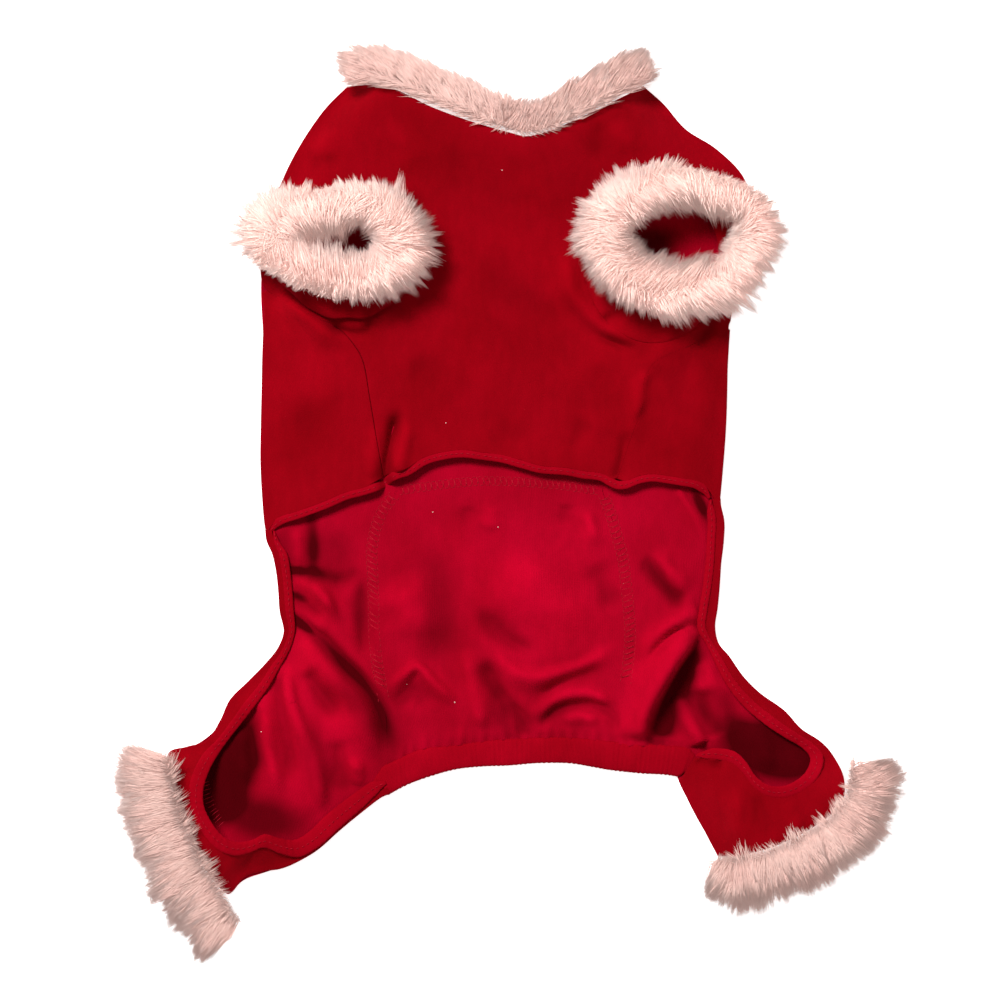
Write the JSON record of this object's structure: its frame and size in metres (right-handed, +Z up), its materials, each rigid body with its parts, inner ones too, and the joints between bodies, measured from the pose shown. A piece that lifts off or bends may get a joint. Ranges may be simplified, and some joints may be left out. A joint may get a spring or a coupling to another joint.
{
  "type": "dog pyjama suit with plush trims",
  "caption": "Velour suit with short sleeves and hind legs for a small dog, edged with long plush at neck and cuffs, laid flat on its back with the belly side up.",
  "frame": {"origin": "middle of the whole piece's box, on the surface that it lies on", "axes": "+X to the right-hand side seen from above, +Y to the neck, +Z up from the surface, towards the belly side"},
  "size_m": [0.3958, 0.4537, 0.0386],
  "materials": {
    "velour_face": "deep red velour, short dense pile with a soft sheen",
    "velour_wrong_side": "brighter red wrong side of the velour, smooth fine knit",
    "elastic_band": "red velour turned over elastic and topstitched",
    "plush": "long-pile cream plush with a warm pink cast"
  },
  "bodies": {
    "root": {"back_panel": "velour_wrong_side", "seat_panel": "velour_wrong_side", "side_back_left": "velour_wrong_side", "side_back_right": "velour_wrong_side", "belly_panel": "velour_face", "flank_left": "velour_face", "flank_right": "velour_face", "leg_front_left": "velour_face", "leg_front_right": "velour_face", "sleeve_left": "velour_face", "sleeve_right": "velour_face", "band_belly": "elastic_band", "band_leg_left": "elastic_band", "band_leg_right": "elastic_band", "band_rump": "elastic_band", "plush_neck": "plush", "plush_sleeve_left": "plush", "plush_sleeve_right": "plush", "plush_leg_left": "plush", "plush_leg_right": "plush"}
  },
  "joints": []
}
